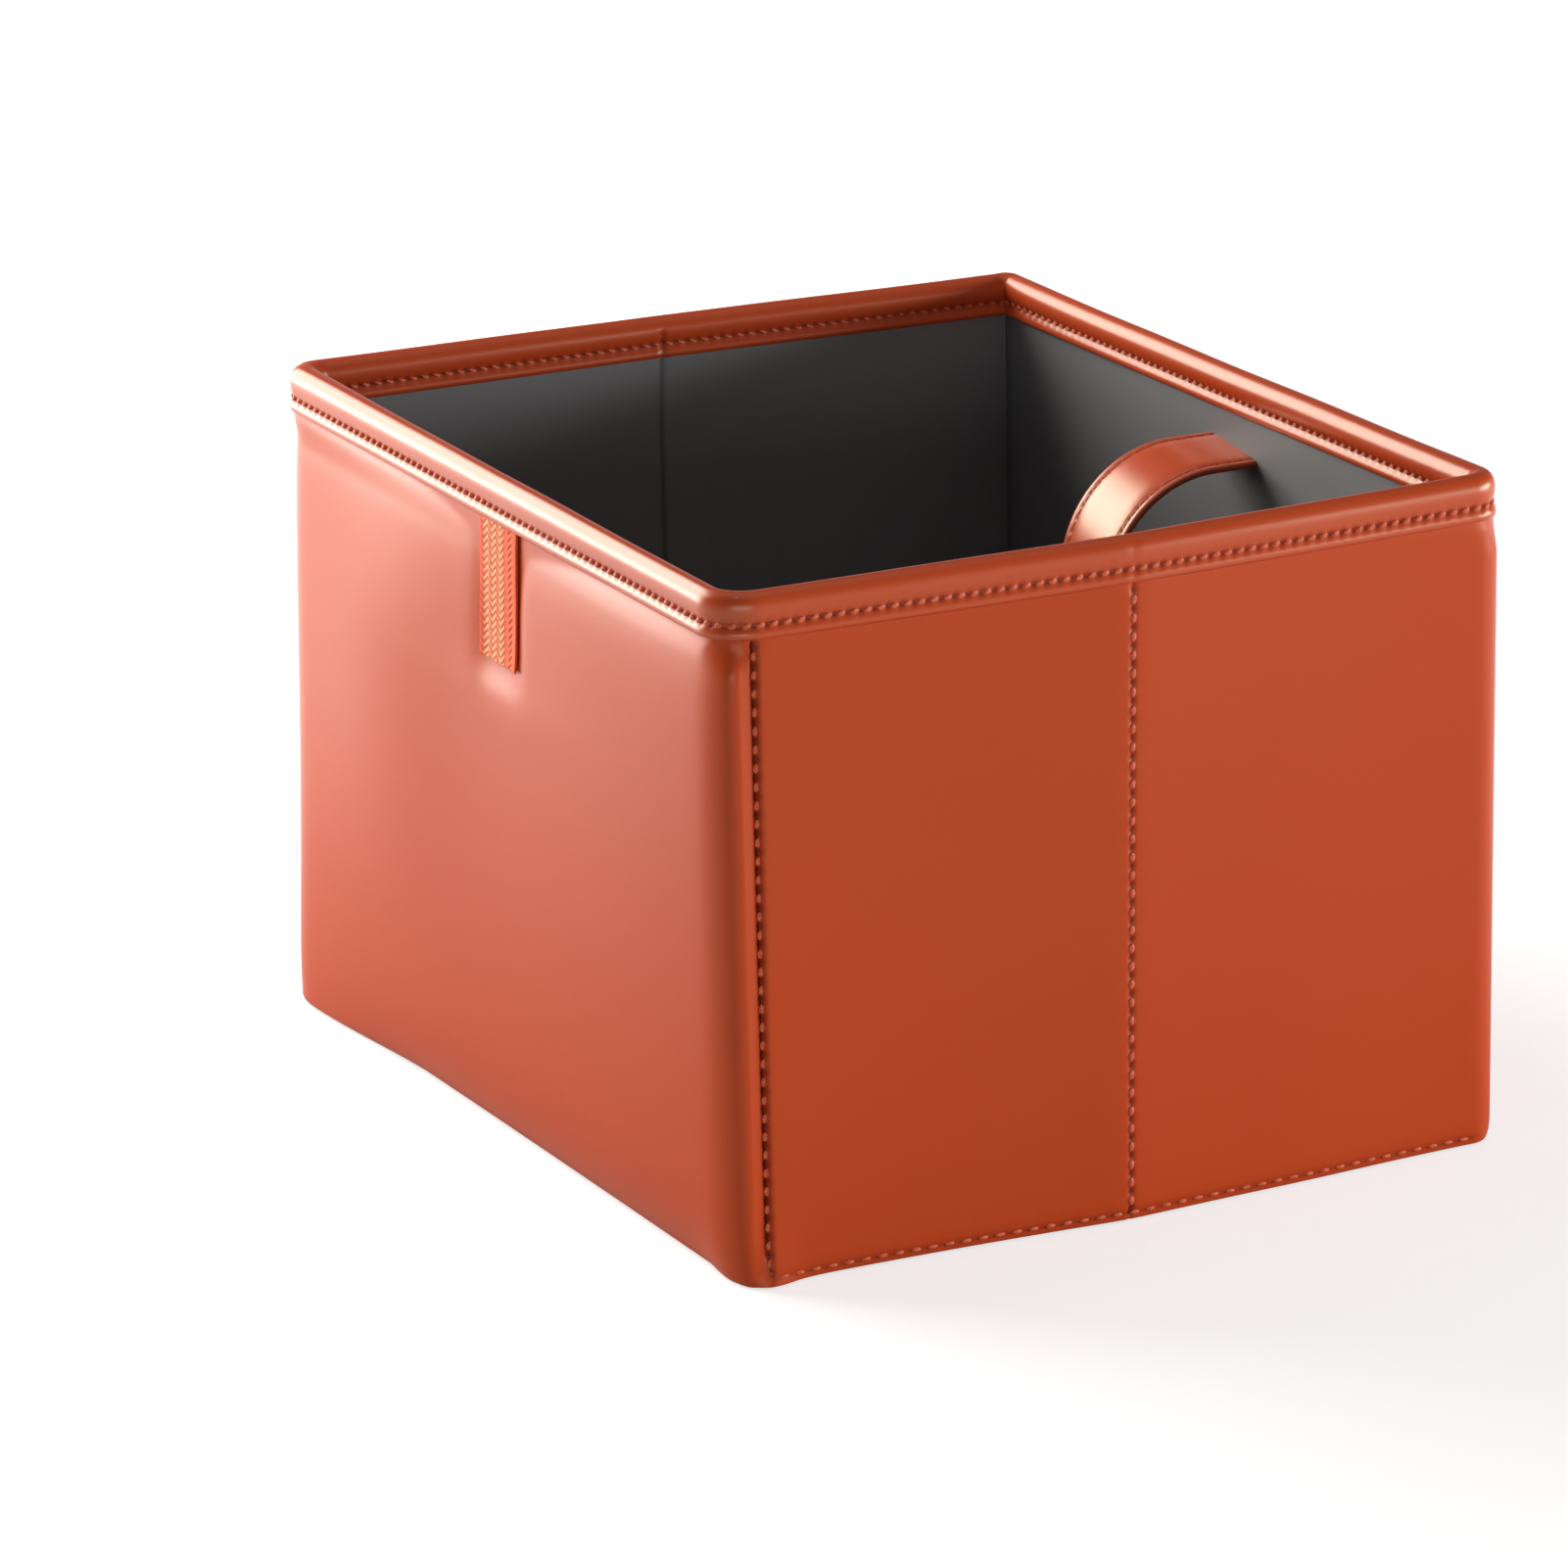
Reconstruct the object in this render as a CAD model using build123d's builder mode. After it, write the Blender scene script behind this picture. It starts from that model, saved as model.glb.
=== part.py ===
import os
from math import cos, hypot, radians, sin, sqrt

from build123d import *

# A soft, open-topped car bin. Board-stiffened walls are padded with foam, covered in leather
# and lined, the two side walls are creased down the middle so that the bin can be folded, and a
# leather binding is rolled over the rim. Millimetres, +Z up, the origin is on the floor under
# the middle of the bin, and the front wall, which carries the woven label, faces -Y.

# Body, measured over the padded skins
length = 244.0
width = 208.0
height = 165.0

# Layers of a wall, from the outside in
skin_t = 1.0
foam_t = 1.8
pinch_t = 0.3
board_t = 2.0
lining_t = 0.6

# Vertical corners and the seams beside them
corner_r = 6.0
corner_lip = 3.6
valley_w = 11.0

# Side walls stand a little outwards at their middle fold
side_bow = 3.0
fold_gap = 3.0
fold_r = 60.0

# Rolled rim
binding_t = 0.9
binding_out = 11.0
binding_in = 9.5
binding_clear = 0.25
binding_round = 2.4
neck_h = 8.0

# Base
base_board_t = 2.4

# Clearance where boards and linings meet
board_gap = 0.3

# Pull strap on the rear wall
strap_w = 24.0
strap_t = 1.8
strap_drop = 19.0
strap_rise = 34.0
strap_reach = 42.0
strap_bend = 30.0
strap_tab = 14.0
slot_clear = 0.3

# Woven label under the front rim
label_w = 21.0
label_h = 35.0
label_t = 0.8

# Faces of the boards, from which every layer is measured
seam_t = skin_t + pinch_t
by = width / 2 - foam_t - seam_t
bx = length / 2 - foam_t - seam_t
seam_y = width / 2 - corner_r - corner_lip
seam_x = length / 2 - corner_r - corner_lip
edge_r = foam_t + seam_t
flat_puff = 0.02

# The boards stop short of the corners, clear of the leather that turns round them
turn_c = corner_r - seam_t
board_end = turn_c - sqrt((corner_r - skin_t) ** 2 - turn_c**2) + board_gap
side_end = by - max(board_end, board_t + board_gap)

# Levels
stack_top = height - binding_t
neck_top = height - binding_out
neck_low = neck_top - neck_h
floor_z = skin_t + base_board_t + lining_t

sides = {"right": 1, "left": -1}
ends = {"front": -1, "rear": 1}


def side_x(side, n, y):
    """X of the side wall's layer that lies n outside the boards, at a given y."""
    return sides[side] * (bx + side_bow * (1 - abs(y) / by) + n * hypot(side_bow, by) / by)


def body_outline(inset, puff):
    """Plan of the padded body: corner rolls, seam valleys, two lobes on each side wall.

    The front corners are sewn on the side walls, and the rear corners on the rear wall.
    """
    ye = width / 2 - foam_t + puff - inset
    r = corner_r - inset
    with BuildLine() as line:
        for side, sx in sides.items():
            xv = side_x(side, seam_t, seam_y) - sx * inset
            xf = side_x(side, seam_t, 0) - sx * inset
            xe = xv + sx * puff
            for sy in ends.values():
                roll = Vector(xe, sy * (ye - r))
                turned = Vector(xe - sx * r, sy * ye)
                mid = (xe - sx * r * (1 - cos(radians(45))), sy * (ye - r + r * sin(radians(45))))
                ThreePointArc(turned, mid, roll)
                seam = Vector(xv, sy * seam_y)
                fold = Vector(xf, 0)
                along = (fold - seam).normalized()
                out = Vector(sx * abs(along.Y), -sx * along.X * (1 if along.Y > 0 else -1))
                stop = fold - along * valley_w + out * puff
                TangentArc(stop, fold, tangent=along)
                if sy < 0:
                    start = seam + along * valley_w + out * puff
                    TangentArc(roll, seam, tangent=(0, -sy))
                    TangentArc(start, seam, tangent=along * -1)
                    Line(start, stop)
                else:
                    rear_seam = Vector(sx * seam_x, ye - puff)
                    crest = Vector(sx * (seam_x - valley_w), ye)
                    Line(roll, stop)
                    TangentArc(turned, rear_seam, tangent=(-sx, 0))
                    TangentArc(crest, rear_seam, tangent=(sx, 0))
        right_end = side_x("right", seam_t, seam_y) - inset + puff - r
        left_end = side_x("left", seam_t, seam_y) + inset - puff + r
        Line((left_end, -ye), (right_end, -ye))
        Line((valley_w - seam_x, ye), (seam_x - valley_w, ye))
    return line.edges()


def wall_outline(n, y):
    """Plan of a layer that lies n outside the boards at the sides and ends at y front and rear."""
    with BuildLine() as line:
        Polyline(
            (side_x("right", n, -y), -y),
            (side_x("right", n, 0), 0),
            (side_x("right", n, y), y),
            (side_x("left", n, y), y),
            (side_x("left", n, 0), 0),
            (side_x("left", n, -y), -y),
            close=True,
        )
    return line.edges()


def side_strip(side, n0, n1, y0, y1):
    """Plan of a layer of a side wall between two depths, from y0 to y1."""
    ys = [y0, 0, y1] if y0 < 0 < y1 else [y0, y1]
    there = [(side_x(side, n0, y), y) for y in ys]
    back = [(side_x(side, n1, y), y) for y in reversed(ys)]
    with BuildLine() as line:
        Polyline(*there, *back, close=True)
    return line.edges()


def edge_round(y, z, r):
    """Waste outside the rounded lower edge of the front or rear wall, in the YZ plane."""
    s = 1 if y > 0 else -1
    with BuildLine() as line:
        Line((y, z), (y, z + r))
        TangentArc((y, z + r), (y - s * r, z), tangent=(0, -1))
        Line((y - s * r, z), (y, z))
    return line.edges()


# Outer body: padded walls that fade to a flat neck under the binding
with BuildPart() as outer_body:
    with BuildSketch(Plane.XY):
        make_face(body_outline(0, foam_t))
    extrude(amount=neck_low)
    with BuildSketch(Plane.XY.offset(neck_low)):
        make_face(body_outline(0, foam_t))
    with BuildSketch(Plane.XY.offset(neck_top)):
        make_face(body_outline(0, flat_puff))
    loft(ruled=True)
    with BuildSketch(Plane.XY.offset(neck_top)):
        make_face(body_outline(0, flat_puff))
    extrude(amount=stack_top - neck_top)
    for sy in ends.values():
        with BuildSketch(Plane.YZ):
            make_face(edge_round(sy * width / 2, 0, edge_r))
        extrude(amount=length, both=True, mode=Mode.SUBTRACT)

# Inner body: the same walls inside the leather, above the skin of the base
with BuildPart() as inner_body:
    with BuildSketch(Plane.XY.offset(skin_t)):
        make_face(body_outline(skin_t, foam_t))
    extrude(amount=neck_low - skin_t)
    with BuildSketch(Plane.XY.offset(neck_low)):
        make_face(body_outline(skin_t, foam_t))
    with BuildSketch(Plane.XY.offset(neck_top)):
        make_face(body_outline(skin_t, flat_puff))
    loft(ruled=True)
    with BuildSketch(Plane.XY.offset(neck_top)):
        make_face(body_outline(skin_t, flat_puff))
    extrude(amount=stack_top - neck_top)
    for sy in ends.values():
        with BuildSketch(Plane.YZ):
            make_face(edge_round(sy * (width / 2 - skin_t), skin_t, edge_r - skin_t))
        extrude(amount=length, both=True, mode=Mode.SUBTRACT)

made = {}

# Front and rear skins turn under the base, and the front one also round the front corners
for end, sy in ends.items():
    with BuildPart() as end_skin:
        add(outer_body.part)
        add(inner_body.part, mode=Mode.SUBTRACT)
        split(bisect_by=Plane((0, sy * seam_y, 0), z_dir=(0, sy, 0)), keep=Keep.TOP)
        if end == "rear":
            split(bisect_by=Plane((seam_x, 0, 0), z_dir=(-1, 0, 0)), keep=Keep.TOP)
            split(bisect_by=Plane((-seam_x, 0, 0), z_dir=(1, 0, 0)), keep=Keep.TOP)
    made[end + "_skin"] = end_skin.part

# Side skins are pressed in along the middle fold and turn round the rear corners
for side, sx in sides.items():
    with BuildPart() as side_skin:
        add(outer_body.part)
        add(inner_body.part, mode=Mode.SUBTRACT)
        split(bisect_by=Plane((0, -seam_y, 0), z_dir=(0, 1, 0)), keep=Keep.TOP)
        split(bisect_by=Plane((0, 0, 0), z_dir=(sx, 0, 0)), keep=Keep.TOP)
        with BuildSketch(Plane.XY):
            with Locations((0, seam_y)):
                Rectangle(2 * seam_x, width, align=(Align.CENTER, Align.MIN))
        extrude(amount=height, mode=Mode.SUBTRACT)
        with BuildSketch(Plane.XY):
            make_face(body_outline(skin_t, foam_t))
            Rectangle(2 * length, 2 * seam_y, mode=Mode.INTERSECT)
        extrude(amount=skin_t, mode=Mode.SUBTRACT)
    made[side + "_side_skin"] = side_skin.part

# Base skin closes the floor between the two turned-under edges
with BuildPart() as base_skin:
    with BuildSketch(Plane.XY):
        make_face(body_outline(skin_t, foam_t))
        Rectangle(2 * length, 2 * seam_y, mode=Mode.INTERSECT)
    extrude(amount=skin_t)
made["base_skin"] = base_skin.part

# Slots for the strap through the rear board and lining, and room for its tabs in the foam
strap_top = height - strap_drop
strap_low = strap_rise
strap_mid = (strap_top + strap_low) / 2
strap_span = strap_top - strap_low
lining_y = by - board_t - lining_t

# Boards
for end, sy in ends.items():
    with BuildPart() as end_board:
        with BuildSketch(Plane.XY.offset(skin_t)):
            with Locations((0, sy * (by - board_t / 2))):
                Rectangle(2 * (bx - board_end), board_t)
        extrude(amount=stack_top - skin_t)
        if end == "rear":
            with BuildSketch(Plane.XZ):
                with Locations((0, strap_top), (0, strap_low)):
                    Rectangle(strap_w + 2 * slot_clear, strap_t + 2 * slot_clear)
            extrude(amount=-width, mode=Mode.SUBTRACT)
    made[end + "_board"] = end_board.part

for side in sides:
    for end, sy in ends.items():
        near, far = sorted((sy * fold_gap / 2, sy * side_end))
        with BuildPart() as half_board:
            with BuildSketch(Plane.XY.offset(skin_t)):
                make_face(side_strip(side, 0, -board_t, near, far))
            extrude(amount=stack_top - skin_t)
        made[side + "_" + end + "_board"] = half_board.part

with BuildPart() as base_board:
    with BuildSketch(Plane.XY.offset(skin_t)):
        make_face(wall_outline(-board_t - board_gap, by - board_t - board_gap))
    extrude(amount=base_board_t)
made["base_board"] = base_board.part

# Foam pads fill the room between the boards and the skins, up to the binding
for end, sy in ends.items():
    with BuildPart() as end_pad:
        add(inner_body.part)
        split(bisect_by=Plane((0, sy * by, 0), z_dir=(0, sy, 0)), keep=Keep.TOP)
        split(bisect_by=Plane((0, 0, neck_top), z_dir=(0, 0, -1)), keep=Keep.TOP)
        if end == "rear":
            room = strap_tab + strap_t / 2 + 2 * slot_clear
            with BuildSketch(Plane.XZ):
                with Locations((0, strap_top + strap_t / 2 + slot_clear)):
                    Rectangle(strap_w + 2 * slot_clear, room, align=(Align.CENTER, Align.MAX))
                with Locations((0, strap_low - strap_t / 2 - slot_clear)):
                    Rectangle(strap_w + 2 * slot_clear, room, align=(Align.CENTER, Align.MIN))
            extrude(amount=-width, mode=Mode.SUBTRACT)
    made[end + "_pad"] = end_pad.part

for side in sides:
    for end, sy in ends.items():
        near, far = sorted((sy * fold_gap / 2, sy * by))
        with BuildPart() as half_pad:
            add(inner_body.part)
            split(bisect_by=Plane((0, 0, neck_top), z_dir=(0, 0, -1)), keep=Keep.TOP)
            with BuildSketch(Plane.XY):
                make_face(side_strip(side, 0, foam_t + seam_t, near, far))
            extrude(amount=height, mode=Mode.INTERSECT)
        made[side + "_" + end + "_pad"] = half_pad.part

# Linings stand on the lining of the floor
for end, sy in ends.items():
    with BuildPart() as end_lining:
        with BuildSketch(Plane.XY.offset(floor_z)):
            with Locations((0, sy * (by - board_t - lining_t / 2))):
                Rectangle(2 * (bx - board_t - board_gap), lining_t)
        extrude(amount=stack_top - floor_z)
        if end == "rear":
            with BuildSketch(Plane.XZ):
                with Locations((0, strap_top), (0, strap_low)):
                    Rectangle(strap_w + 2 * slot_clear, strap_t + 2 * slot_clear)
            extrude(amount=-width, mode=Mode.SUBTRACT)
    made[end + "_lining"] = end_lining.part

for side in sides:
    with BuildPart() as side_lining:
        with BuildSketch(Plane.XY.offset(floor_z)):
            make_face(side_strip(side, -board_t, -board_t - lining_t, -lining_y, lining_y))
        extrude(amount=stack_top - floor_z)
    made[side + "_lining"] = side_lining.part

with BuildPart() as base_lining:
    with BuildSketch(Plane.XY.offset(skin_t + base_board_t)):
        make_face(wall_outline(-board_t - board_gap, by - board_t - board_gap))
    extrude(amount=lining_t)
made["base_lining"] = base_lining.part

# Binding rolled over the rim: two legs and a rounded top, seated on the edges of the walls
out_n = seam_t + binding_clear
in_n = -board_t - lining_t - binding_clear
out_r = corner_r + binding_clear
in_r = corner_r - seam_t - board_t - lining_t
with BuildPart() as rim_binding:
    with BuildSketch(Plane.XY.offset(neck_top)) as outside:
        make_face(wall_outline(out_n + binding_t, by + out_n + binding_t))
        fillet(outside.vertices().filter_by(lambda v: abs(v.Y) > 1), out_r + binding_t)
        fillet(outside.vertices().filter_by(lambda v: abs(v.Y) < 1), fold_r)
    extrude(amount=binding_out)
    with BuildSketch(Plane.XY.offset(neck_top)) as mouth:
        make_face(wall_outline(in_n - binding_t, by + in_n - binding_t))
        fillet(mouth.vertices().filter_by(lambda v: abs(v.Y) > 1), in_r)
        fillet(mouth.vertices().filter_by(lambda v: abs(v.Y) < 1), fold_r)
    extrude(amount=binding_out, mode=Mode.SUBTRACT)
    fillet(rim_binding.faces().sort_by(Axis.Z)[-1].edges(), binding_round)
    with BuildSketch(Plane.XY.offset(neck_top)) as groove:
        make_face(wall_outline(out_n, by + out_n))
        fillet(groove.vertices().filter_by(lambda v: abs(v.Y) > 1), out_r)
        make_face(wall_outline(in_n, by + in_n), mode=Mode.SUBTRACT)
    extrude(amount=binding_out - binding_t, mode=Mode.SUBTRACT)
    with BuildSketch(Plane.XY.offset(neck_top)) as inner_leg:
        make_face(wall_outline(in_n, by + in_n))
    extrude(amount=binding_out - binding_in, mode=Mode.SUBTRACT)
made["rim_binding"] = rim_binding.part

# Pull strap: a loop of two round bends that passes through the wall, with a tab behind the board
# at each end
with BuildPart() as pull_strap:
    with BuildSketch(Plane.YZ.offset(-strap_w / 2)):
        with Locations((lining_y, strap_mid)):
            RectangleRounded(2 * strap_reach + strap_t, strap_span + strap_t, strap_bend + strap_t / 2)
            RectangleRounded(
                2 * strap_reach - strap_t, strap_span - strap_t, strap_bend - strap_t / 2, mode=Mode.SUBTRACT
            )
            Rectangle(2 * width, 2 * height, align=(Align.MIN, Align.CENTER), mode=Mode.SUBTRACT)
        with Locations((lining_y, strap_top), (lining_y, strap_low)):
            Rectangle(by + strap_t - lining_y, strap_t, align=(Align.MIN, Align.CENTER))
        with Locations((by, strap_top)):
            Rectangle(strap_t, strap_tab, align=(Align.MIN, Align.MAX))
        with Locations((by, strap_low)):
            Rectangle(strap_t, strap_tab, align=(Align.MIN, Align.MIN))
    extrude(amount=strap_w)
made["pull_strap"] = pull_strap.part

# Woven label, folded double, hanging from the lower edge of the binding over the padded front
label_end = neck_top - label_h
with BuildPart() as woven_label:
    with BuildSketch(Plane.YZ.offset(-label_w / 2)):
        with BuildLine():
            Polyline(
                (-width / 2 + foam_t - flat_puff, neck_top),
                (-width / 2, neck_low),
                (-width / 2, label_end),
                (-width / 2 - label_t, label_end),
                (-width / 2 - label_t, neck_low),
                (-width / 2 + foam_t - flat_puff - label_t, neck_top),
                close=True,
            )
        make_face()
    extrude(amount=label_w)
made["woven_label"] = woven_label.part

os.makedirs("parts", exist_ok=True)
for node, solid in made.items():
    solid.label = node
    export_step(solid, "parts/" + node + ".step")
    print(node, round(solid.volume / 1000, 2), "cm3", len(solid.solids()), "solid")
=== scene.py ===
# %% [markdown]
# # A soft car bin in leather
# The bin is an open box: padded leather walls, a leather strip rolled over the rim, a black
# lining and a pull strap inside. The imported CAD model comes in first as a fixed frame. It
# says where every layer lies, so each piece below is made in place, with no fitting after.

# %% Load the frame
import math

import bpy
import numpy as np
from mathutils import Matrix, Vector


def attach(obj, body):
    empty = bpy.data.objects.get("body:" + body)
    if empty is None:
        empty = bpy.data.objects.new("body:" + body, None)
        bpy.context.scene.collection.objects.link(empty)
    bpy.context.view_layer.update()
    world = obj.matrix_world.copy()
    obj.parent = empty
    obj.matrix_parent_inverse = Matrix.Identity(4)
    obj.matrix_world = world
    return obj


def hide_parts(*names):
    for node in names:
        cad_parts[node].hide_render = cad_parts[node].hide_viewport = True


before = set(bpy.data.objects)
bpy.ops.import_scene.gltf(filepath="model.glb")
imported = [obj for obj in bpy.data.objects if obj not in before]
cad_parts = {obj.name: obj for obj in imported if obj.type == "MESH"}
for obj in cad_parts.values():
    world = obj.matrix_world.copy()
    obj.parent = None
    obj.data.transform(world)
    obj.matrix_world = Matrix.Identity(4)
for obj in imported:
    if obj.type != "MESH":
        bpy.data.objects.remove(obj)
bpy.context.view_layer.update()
mm = 0.001

# %% [markdown]
# ## Camera
# The view is from the front right and a little above, through a long lens, as for a picture
# in a catalogue. A camera can be aimed by hand, but here its place was worked out from the
# corners of the bin, so its three axes are written straight into its matrix.

# %% Camera
azimuth, elevation, roll = (math.radians(a) for a in (63.42, 17.12, -1.02))
distance, aside, above = 2066 * mm, 23.83 * mm, 8.83 * mm
sensor_width, lens_ratio = 36, 8604 / 1601
level_share = math.cos(elevation)
back = Vector((math.sin(azimuth) * level_share, -math.cos(azimuth) * level_share, math.sin(elevation)))
level = Vector((math.cos(azimuth), math.sin(azimuth), 0))
upright = back.cross(level)
right = math.cos(roll) * level + math.sin(roll) * upright
up = math.cos(roll) * upright - math.sin(roll) * level
middle = Vector((0, 0, 82.5 * mm))
camera = bpy.data.objects.new("camera", bpy.data.cameras.new("camera"))
camera.data.sensor_width = sensor_width
camera.data.lens = lens_ratio * sensor_width
axes = Matrix((right, up, back)).transposed().to_4x4()
spot = middle + distance * back - aside * right - above * up
camera.matrix_world = Matrix.Translation(spot) @ axes
bpy.context.scene.collection.objects.link(camera)
bpy.context.scene.camera = camera
print("camera at", [round(c, 3) for c in spot], "lens", round(camera.data.lens, 1))

# %% [markdown]
# ## Floor and light
# The bin stands on a plain floor. A glow of its own makes it white to the camera, so it needs
# less light and throws little of it back up. One large soft lamp at the left, with a small low
# one below it, gives the front wall and the rolled rim their pale sheen. A wide lamp hangs
# above, one beyond the far right corner grazes the right wall, and a faint one near the camera
# softens the near corner. To the camera and to reflections the world is white round the
# horizon, as a studio's backdrop is, and darker overhead. As a light it is dim, so the
# background stays white without more light on the leather.

# %% Helpers for selecting and for node materials
def select_only(*pieces):
    """Operators act on all that is selected, so the selection is made afresh each time."""
    if bpy.context.mode != "OBJECT":
        bpy.ops.object.mode_set(mode="OBJECT")
    bpy.ops.object.select_all(action="DESELECT")
    for piece in pieces:
        piece.select_set(True)
        bpy.context.view_layer.objects.active = piece


def srgb(r, g, b):
    """A colour as a picture shows it, 0 to 255, turned into the linear colour that nodes use."""
    return [((c / 255 + 0.055) / 1.055) ** 2.4 if c > 10 else c / 3295 for c in (r, g, b)] + [1]


class Recipe:
    """Node trees in short: add() makes a node, sets its inputs by name or number and links sockets."""

    def __init__(self, name, store="materials", shader="Principled BSDF"):
        self.result = getattr(bpy.data, store).new(name)
        self.result.use_nodes = True
        self.tree = self.result.node_tree
        self.shader = self.tree.nodes[shader]

    def set(self, node, **inputs):
        for key, value in inputs.items():
            socket = node.inputs[int(key[1:]) if key[1:].isdigit() else key.replace("_", " ")]
            if isinstance(value, bpy.types.NodeSocket):
                self.tree.links.new(value, socket)
            else:
                socket.default_value = value
        return node

    def add(self, kind, settings=None, **inputs):
        node = self.tree.nodes.new("ShaderNode" + kind)
        for key, value in (settings or {}).items():
            setattr(node, key, value)
        return self.set(node, **inputs)

    def place(self):
        return self.add("TexCoord").outputs["Object"]

    def mix(self, factor, first, second):
        """From the first colour to the second as the factor goes from 0 to 1."""
        return self.add("Mix", {"data_type": "RGBA"}, i0=factor, i6=first, i7=second).outputs[2]

    def span(self, value, low, high, start=0.0, stop=1.0):
        """From low to high as the value goes from start to stop."""
        ends = dict(From_Min=start, From_Max=stop, To_Min=low, To_Max=high)
        return self.add("MapRange", None, Value=value, **ends).outputs[0]

    def sum(self, first, second, how="ADD"):
        return self.add("Math", {"operation": how}, i0=first, i1=second).outputs[0]

    def bump(self, height, strength, distance):
        """Lets a pattern stand up a little from the surface."""
        node = self.add("Bump", None, Strength=strength, Distance=distance, Height=height)
        self.set(self.shader, Normal=node.outputs[0])


# %% Floor
select_only()
bpy.ops.mesh.primitive_circle_add(vertices=96, radius=6, fill_type="NGON", location=(0, 0, -0.0004))
floor = bpy.context.object
floor.name = "floor"
paper = Recipe("floor_paper")
cloud = paper.add("TexNoise", None, Vector=paper.place(), Scale=3.0).outputs[0]
tint = paper.mix(cloud, srgb(182, 182, 182), srgb(186, 186, 186))
paper.set(paper.shader, Base_Color=tint, Roughness=0.9, Specular_IOR_Level=0.1)
rays = paper.add("LightPath").outputs
mirrored = paper.sum(rays["Is Glossy Ray"], rays["Is Transmission Ray"], "MAXIMUM")
reach = paper.add("VectorMath", {"operation": "LENGTH"}, i0=paper.place()).outputs["Value"]
seen_glow = paper.sum(rays["Is Camera Ray"], paper.span(reach, 0.64, 1.0, 0.35, 1.6), "MULTIPLY")
mirrored_glow = paper.sum(mirrored, paper.span(reach, 0.0, 0.95, 0.13, 0.42), "MULTIPLY")
glow = paper.sum(seen_glow, mirrored_glow)
paper.set(paper.shader, Emission_Color=(1, 1, 1, 1), Emission_Strength=glow)
floor.data.materials.append(paper.result)
print("floor of", round(floor.dimensions.x, 1), "m")

# %% Lamps and world
def lamp(name, spot, size, watts, tint=(1, 1, 1)):
    """An area lamp at a spot, turned to the middle of the bin."""
    light = bpy.data.lights.new(name, "AREA")
    light.shape, light.size, light.size_y = "RECTANGLE", size[0], size[1]
    light.energy, light.color = watts, tint
    thing = bpy.data.objects.new(name, light)
    bpy.context.scene.collection.objects.link(thing)
    thing.location = spot
    thing.rotation_mode = "QUATERNION"
    thing.rotation_quaternion = (middle - Vector(spot)).to_track_quat("-Z", "Y")


lamp("key_left", (-0.93, -0.54, 0.52), (1.0, 1.0), 29, (1, 0.97, 0.91))
lamp("low_left", (-1.05, -0.62, 0.12), (0.6, 0.2), 2.5)
lamp("top", (0.0, 0.0, 1.6), (1.4, 1.4), 4)
lamp("fill_right", (0.76, 1.18, 0.24), (1.0, 0.3), 20)
lamp("front_soft", (1.45, -0.72, 0.24), (1.2, 0.36), 6)

sky = Recipe("studio", "worlds", "Background")
bpy.context.scene.world = sky.result
rays = sky.add("LightPath").outputs
seen = sky.sum(rays["Is Camera Ray"], rays["Is Glossy Ray"], "MAXIMUM")
seen = sky.sum(seen, rays["Is Transmission Ray"], "MAXIMUM")
sight = sky.add("SeparateXYZ", None, Vector=sky.add("TexCoord").outputs["Generated"])
backdrop = sky.span(sight.outputs[2], 1.0, 0.12, 0.04, 0.22)
sky.set(sky.shader, Color=(1, 1, 1, 1), Strength=sky.span(seen, 0.11, backdrop))
bpy.context.scene.view_settings.view_transform = "Standard"

# %% [markdown]
# ## Finishes
# The leather is a smooth coated hide: an even terracotta with a faint cloudiness, a very fine
# grain and a satin surface. Shade is painted into its colour in needle holes, seams, hems and
# creases, and the strap's edges are dyed dark. These places are stored on the mesh as an
# attribute when each piece is made, so the painted shade follows every seam. Thread, lining
# and board each get a small recipe of their own, and so does the ribbon, further on.

# %% Leather
def leather_finish(name, tone, shine, satin):
    """Coated leather. 'tone' scales the colour, and above 1 it paints in light; 'shine' the coat and
    'satin' is its roughness.
    """
    deep, pale = [[c * tone for c in rgb] for rgb in ((176, 62, 25), (183, 68, 29))]
    hide = Recipe(name)
    spot = hide.place()
    cloud = hide.add("TexNoise", None, Vector=spot, Scale=11.0, Detail=3.0).outputs[0]
    edges = {"feature": "DISTANCE_TO_EDGE"}
    pores = hide.add("TexVoronoi", edges, Vector=spot, Scale=1150.0).outputs[0]
    fibre = hide.add("TexNoise", None, Vector=spot, Scale=700.0, Detail=2.0).outputs[0]
    painted_shade_and_dye = hide.add("Attribute", {"attribute_name": "painted_shade_and_dye"}).outputs["Fac"]
    plain = hide.mix(cloud, srgb(*deep), srgb(*pale))
    # Painted shade: needle holes, seams, hems and creases go towards a deep red-brown, and so do the
    # strap's dyed edges.
    hide.set(hide.shader, Base_Color=hide.mix(hide.span(painted_shade_and_dye, 0, 0.92), plain, srgb(116, 23, 6)))
    rough = hide.sum(hide.span(cloud, satin - 0.02, satin + 0.02), hide.span(painted_shade_and_dye, 0, 0.3))
    hide.set(hide.shader, Roughness=rough, Specular_IOR_Level=shine, Specular_Tint=(1, 0.95, 0.72, 1))
    hide.bump(hide.sum(hide.span(pores, 0, 1, 0, 0.3), fibre), 0.015, 0.00012)
    return hide.result


wall_leather = leather_finish("wall_leather", 1.0, 0.22, 0.305)
rim_leather = leather_finish("rim_leather", 1.0, 0.5, 0.31)
# The strap's copy is painted 14 percent lighter than the walls' leather, to stand in for the light it
# catches inside the bin.
strap_leather_painted_lighter = leather_finish("strap_leather_painted_lighter", 1.14, 1.0, 0.32)
print("leathers:", wall_leather.name, rim_leather.name, strap_leather_painted_lighter.name)

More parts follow.
